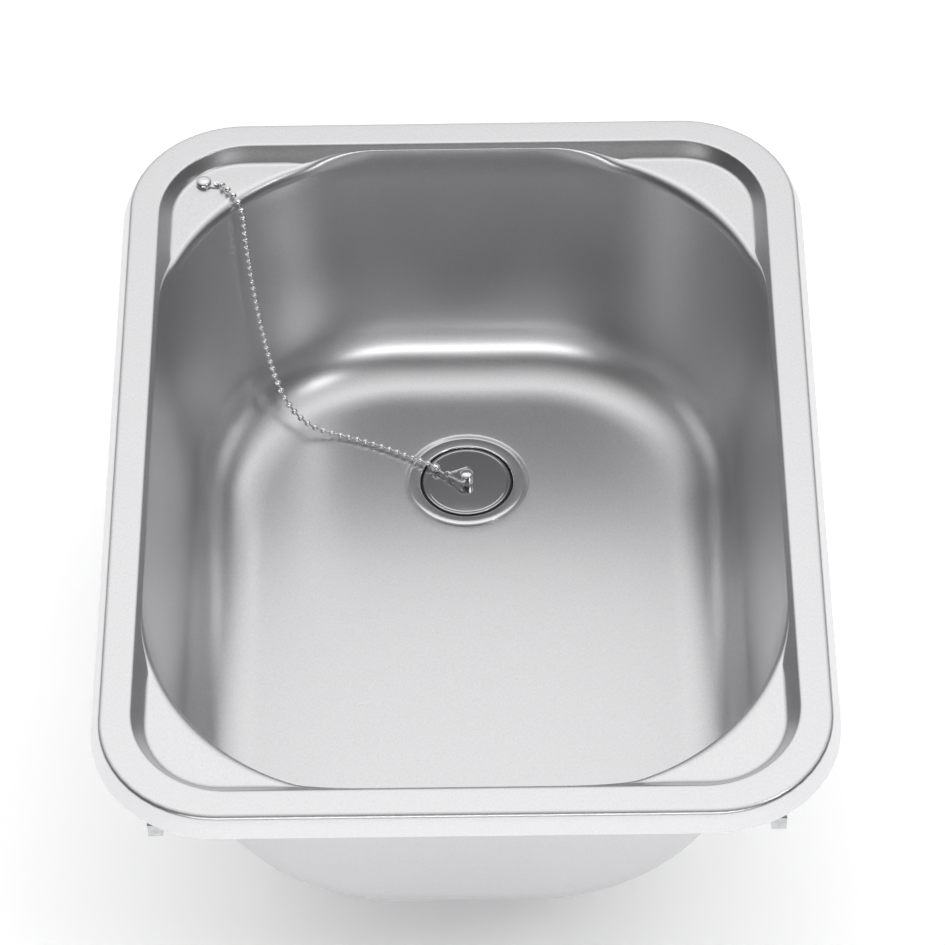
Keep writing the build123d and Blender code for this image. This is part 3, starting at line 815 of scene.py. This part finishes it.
# Rubber ring and waste body under the floor: cup, threaded tail, and a boss on ribs
seal_top = -seat_depth - sheet
cup_top = seal_top - seal_thick
cup_floor = cup_top - cup_depth
cup_foot = cup_floor - cup_wall
tail_foot = cup_foot - tail_length
boss_foot = strainer_under - boss_length
seal_ring = [
    (waste_hole, seal_top),
    (cup_radius, seal_top),
    (cup_radius, cup_top),
    (waste_hole, cup_top),
]
piece(
    "waste_seal_ring", [turned_on_waste(seal_ring, 96, True)],
    black_rubber, "sink", ["waste_seal"],
)
body_profile = soft_profile(
    [
        (tail_radius, cup_foot),
        (cup_radius, cup_foot),
        (cup_radius, cup_top),
        (cup_radius - cup_wall, cup_top),
        (cup_radius - cup_wall, cup_floor),
        (tail_bore, cup_floor),
        (tail_bore, tail_foot),
        (tail_radius, tail_foot),
    ],
    cup_rounds,
)
boss_ring = [
    (screw_hole, strainer_under),
    (boss_radius, strainer_under),
    (boss_radius, boss_foot),
    (screw_hole, boss_foot),
]


def rib(number):
    """A bar from the boss to the cup: its four corners at both ends, closed at the ends' middles."""
    swing = 2 * pi * number / rib_count
    out = np.array((cos(swing), sin(swing), 0))
    across = np.array((-sin(swing), cos(swing), 0)) * rib_thick / 2
    foot = np.array((0, 0, cup_floor - rib_under))
    top = np.array((0, 0, cup_floor + rib_height))
    section = np.stack((foot - across, foot + across, top + across, top - across))
    middle = np.repeat((foot + top)[None] / 2, 4, 0)
    near = out * (boss_radius - rib_in_boss)
    far = out * (cup_radius - cup_wall + rib_in_cup)
    return grid(on_waste(np.stack((middle + near, section + near, section + far, middle + far))))


piece(
    "waste_body_cup",
    [
        turned_on_waste(body_profile, 96),
        threaded(tail_radius, cup_foot, tail_foot, tail_pitch, tail_thread, waste_place, waste_way, 96),
        turned_on_waste(boss_ring, 48, True),
        *[rib(number) for number in range(rib_count)],
    ],
    white_plastic, "sink", ["waste_body"],
)

# Clip screws: threaded shank with a bevelled end and a six-sided head
shank_top = clip_top - clip_bevel
head_corner = clip_head_across / 2 / cos(pi / 6)
head_foot = clip_foot - clip_head
end_profile = [(0, clip_top), (clip_radius - clip_bevel, clip_top), (clip_radius, shank_top)]
head_profile = [
    (0, clip_foot),
    (head_corner, clip_foot),
    (head_corner, head_foot + clip_head_bevel),
    (head_corner - clip_head_bevel, head_foot),
    (0, head_foot),
]
for end, end_sign in (("front", -1), ("back", 1)):
    for side, side_sign in (("left", -1), ("right", 1)):
        spot = (side_sign * clip_x, end_sign * clip_y, 0)
        piece(
            f"clip_bolt_{end}_{side}",
            [
                turned(end_profile, spot, upright, clip_sides),
                threaded(
                    clip_radius, shank_top, clip_foot, clip_pitch, clip_thread, spot, upright, clip_sides
                ),
                turned([(clip_radius, clip_foot), (0, clip_foot)], spot, upright, clip_sides),
                turned(head_profile, spot, upright, 6),
            ],
            zinc, f"screw_{end}_{side}", [f"clip_screw_{end}_{side}"], radians(50),
        )

# Plug: dished cap with a rolled edge, rubber, and a post with a domed top
cap_under = flange_top - cap_sheet
cap_profile = soft_profile(
    [
        (0, flange_top),
        *[(cap_radius - inset, flange_top - drop) for inset, drop in cap_edge],
        (cap_radius, cap_under),
        (0, cap_under),
    ],
    cap_rounds,
)
# The cap's steel is darkened with painted shade
piece(
    "plug_cap_disc", [turned_on_waste(cap_profile, 128)],
    steel_with_painted_shade, "plug", ["plug_cap"],
)
rubber_foot = cap_under - rubber_depth
rubber_profile = soft_profile(
    [
        (stud_radius, cap_under),
        (rubber_radius, cap_under),
        (rubber_radius, rubber_foot + rubber_bevel),
        (rubber_radius - rubber_bevel, rubber_foot),
        (stud_radius, rubber_foot),
    ],
    rubber_rounds,
)
piece(
    "plug_rubber_bung", [turned_on_waste(rubber_profile, 128)],
    black_rubber, "plug", ["plug_rubber"],
)
post_top = flange_top + post_height
stud_foot = rubber_foot - nut_height
post_foot = soft_profile(
    [
        (post_radius, post_top - post_side_from),
        (post_radius, flange_top),
        (stud_radius, flange_top),
        (stud_radius, stud_foot),
        (0, stud_foot),
    ],
    post_rounds,
)
post_profile = np.concatenate((dome_profile(post_radius, post_top - post_dome, post_dome), post_foot))
piece(
    "plug_post_pin", [turned_on_waste(post_profile, 48)],
    bright_steel, "plug", ["plug_post"],
)

# Link: a round wire carried round a triangle with round corners
link_spot = on_waste((0, 0, flange_top + link_up))
link_flat = np.array((-cos(link_turn), sin(link_turn), 0)) @ waste_axes
link_out = link_flat * cos(link_drop) - waste_way * sin(link_drop)
link_normal = link_flat * sin(link_drop) + waste_way * cos(link_drop)
link_side = np.cross(link_normal, link_out)


def link_loop():
    """Outline of a triangle with round corners: three arcs of one radius, joined by straight runs."""
    corners = np.array(((0, -link_half), (link_length, 0), (0, link_half)))
    before = unit(corners - np.roll(corners, 1, 0))
    after = unit(np.roll(corners, -1, 0) - corners)
    half = np.arccos(np.sum(before * after, -1)) / 2
    inwards = unit(after - before)
    middles = corners + inwards * (link_corner / np.cos(half))[:, None]
    outwards = np.arctan2(before[:, 0], -before[:, 1]) + pi
    turn = outwards[:, None] + np.linspace(0, 2, 10)[None] * half[:, None]
    arcs = middles[:, None] + link_corner * np.stack((np.cos(turn), np.sin(turn)), -1)
    flat = arcs.reshape(-1, 2)
    return link_spot + flat[:, :1] * link_out + flat[:, 1:] * link_side


piece(
    "plug_link_wire", [tube(link_loop(), link_wire, link_normal, 16, True)],
    bright_steel, "link", ["plug_link"],
)

# Coupling at the plug: bell over the chain's end and a ring round the link's point
point_spot = link_spot + link_out * (link_length - link_cut)
ring_edge = point_spot + link_out * ring_radius
chain_foot = line[-1]
bell_foot = chain_foot + unit(line[-1] - line[-2]) * bell_neck
bell_way = unit(ring_edge - bell_foot)
bell_profile = soft_profile(
    [
        (0, 0),
        (bell_radius * bell_mouth, 0),
        (bell_radius, bell_flare),
        (bell_radius, bell_length - bell_shoulder),
        (bell_radius * bell_crown, bell_length),
        (0, bell_length),
    ],
    bell_rounds,
)
ring_turn = np.linspace(0, 2 * pi, 32, endpoint=False)[:, None]
ring_path = point_spot + ring_radius * (np.cos(ring_turn) * link_out + np.sin(ring_turn) * link_normal)
coupling = piece(
    "plug_coupling_bell",
    [
        turned(bell_profile, bell_foot, bell_way, 24),
        tube(ring_path, ring_wire, link_side, 12, True),
        pin(chain_foot, bell_foot),
        pin(bell_foot, ring_edge),
    ],
    chain_metal, "link", ["plug_coupling"],
)

# Chain stay: domed bolt, and the coupling from its eye to the chain
eye_top = ledge_z + eye_plate
bolt_foot = eye_top - stay_length
bolt_side = [(stay_head, eye_top), (stay_shank, eye_top), (stay_shank, bolt_foot), (0, bolt_foot)]
bolt_dome = dome_profile(stay_head, eye_top + stay_head_edge, stay_head_height - stay_head_edge)
bolt_profile = np.concatenate((bolt_dome, bolt_side))
piece(
    "stay_bolt_dome", [turned(bolt_profile, (stay_x, stay_y, 0), upright, 48)],
    bright_steel, "sink", ["stay_bolt"],
)
eye_spot = np.array((stay_x + eye_reach * cos(eye_turn), stay_y + eye_reach * sin(eye_turn), ledge_z))
chain_head = line[0]
stay_bell = chain_head - unit(line[1] - line[0]) * bell_neck
tongue_low = eye_plate + tongue_gap
tongue_spot = eye_spot + (0, 0, tongue_low + eye_plate / 2)
tongue_profile = soft_profile(
    [
        (0, tongue_low + eye_plate),
        (tongue_radius, tongue_low + eye_plate),
        (tongue_radius, tongue_low),
        (peg_radius, tongue_low),
        (peg_radius, 0),
        (0, 0),
    ],
    tongue_rounds,
)
stay_bell_profile = soft_profile(
    [(0, -stay_bell_length), (stay_bell_radius, -stay_bell_length), (stay_bell_radius, 0), (0, 0)],
    stay_bell_rounds,
)
stay_coupling = piece(
    "stay_coupling_bell",
    [
        turned(tongue_profile, eye_spot, upright, 32),
        turned(stay_bell_profile, stay_bell, unit(stay_bell - tongue_spot), 24),
        pin(tongue_spot, stay_bell),
        pin(stay_bell, chain_head),
    ],
    chain_metal, "sink", ["stay_coupling"],
)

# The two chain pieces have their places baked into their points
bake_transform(chain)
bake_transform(chain_end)

# Finishes of the solids
finishes = {
    "foam": foam,
    "pad": damping_sheet,
    "bright_steel": bright_steel,
    "black_rubber": black_rubber,
    "white_plastic": white_plastic,
    "zinc": zinc,
    "chain_metal": chain_metal,
    "pressed_steel": satin_steel,
}
for entry in frame["record"]["subparts"]:
    shown = frame["nodes"][entry["node"]]
    shown.data.materials.clear()
    shown.data.materials.append(finishes[entry["material_slot"]])

# Camera
camera = bpy.data.cameras.new("camera")
camera.sensor_width = camera_sensor
camera.lens = camera_lens
camera_object = bpy.data.objects.new("camera", camera)
bpy.context.scene.collection.objects.link(camera_object)
turn_matrix = Matrix((camera_right, camera_up, camera_right.cross(camera_up))).transposed().to_4x4()
camera_object.matrix_world = Matrix.Translation(camera_place) @ turn_matrix
bpy.context.scene.camera = camera_object

# Floor, in metres: a wide square just under the part
floor_gap = 0.002
floor_reach = 12.0
floor_grey = 0.8
floor_white = 1.6


def floor_finish():
    """Matt paper: white where it is looked at or mirrored, grey for other light, and clear from below."""
    finish, tree, shader = node_finish("pale_floor")
    shader.inputs["Roughness"].default_value = 0.9
    shader.inputs["Specular IOR Level"].default_value = 0.0
    rays = tree.nodes.new("ShaderNodeLightPath")
    seen = rays.outputs["Is Camera Ray"]
    for kind in ("Is Glossy Ray", "Is Transmission Ray"):
        either_ray = tree.nodes.new("ShaderNodeMath")
        either_ray.operation = "MAXIMUM"
        tree.links.new(seen, either_ray.inputs[0])
        tree.links.new(rays.outputs[kind], either_ray.inputs[1])
        seen = either_ray.outputs["Value"]
    paper = tree.nodes.new("ShaderNodeMix")
    paper.data_type = "RGBA"
    paper.inputs["A"].default_value = (floor_grey, floor_grey, floor_grey, 1)
    paper.inputs["B"].default_value = (floor_white, floor_white, floor_white, 1)
    tree.links.new(seen, paper.inputs["Factor"])
    tree.links.new(paper.outputs["Result"], shader.inputs["Base Color"])
    side = tree.nodes.new("ShaderNodeNewGeometry")
    clear = tree.nodes.new("ShaderNodeBsdfTransparent")
    either_side = tree.nodes.new("ShaderNodeMixShader")
    tree.links.new(side.outputs["Backfacing"], either_side.inputs["Fac"])
    tree.links.new(shader.outputs["BSDF"], either_side.inputs[1])
    tree.links.new(clear.outputs["BSDF"], either_side.inputs[2])
    tree.links.new(either_side.outputs["Shader"], tree.nodes["Material Output"].inputs["Surface"])
    return finish


floor_level = cad_box[0][2] - floor_gap
floor_mesh = bpy.data.meshes.new("floor")
floor_mesh.from_pydata(
    [
        (-floor_reach, -floor_reach, floor_level),
        (floor_reach, -floor_reach, floor_level),
        (floor_reach, floor_reach, floor_level),
        (-floor_reach, floor_reach, floor_level),
    ],
    [],
    [(0, 1, 2, 3)],
)
floor_mesh.materials.append(floor_finish())
floor = bpy.data.objects.new("floor", floor_mesh)
bpy.context.scene.collection.objects.link(floor)

# Room light: pale overhead and at the back, darker towards the front
pale_way = (0.0, 0.5, 0.866)
dark_up_to = 0.27
pale_from = 0.88
dark_room = (0.065, 0.065, 0.067, 1)
pale_room = (1.0, 1.0, 1.0, 1)
world = bpy.data.worlds.new("room")
bpy.context.scene.world = world
world.use_nodes = True
room = world.node_tree
way = room.nodes.new("ShaderNodeTexCoord")
towards = room.nodes.new("ShaderNodeVectorMath")
towards.operation = "DOT_PRODUCT"
towards.inputs[1].default_value = pale_way
shade = room.nodes.new("ShaderNodeValToRGB")
shade.color_ramp.interpolation = "EASE"
shade.color_ramp.elements[0].position = dark_up_to
shade.color_ramp.elements[0].color = dark_room
shade.color_ramp.elements[1].position = pale_from
shade.color_ramp.elements[1].color = pale_room
room.links.new(way.outputs["Generated"], towards.inputs[0])
room.links.new(towards.outputs["Value"], shade.inputs["Fac"])
room.links.new(shade.outputs["Color"], room.nodes["Background"].inputs["Color"])


def soft_panel(name, place, width, height, watts):
    """A flat lamp that faces the middle of the sink."""
    lamp = bpy.data.lights.new(name, "AREA")
    lamp.shape = "RECTANGLE"
    lamp.size = width
    lamp.size_y = height
    lamp.energy = watts
    holder = bpy.data.objects.new(name, lamp)
    holder.location = place
    holder.rotation_euler = (-Vector(place)).to_track_quat("-Z", "Y").to_euler()
    bpy.context.scene.collection.objects.link(holder)


# Panels: over the back, low in front, and at the right
soft_panel("top_panel", (0.0, 0.9, 2.2), 2.4, 1.6, 3)
soft_panel("front_panel", (0.0, -2.3, 0.98), 2.6, 0.3, 14)
soft_panel("side_panel", (1.5, -0.9, 1.9), 0.45, 0.45, 4)

bpy.context.scene.view_settings.view_transform = "Standard"
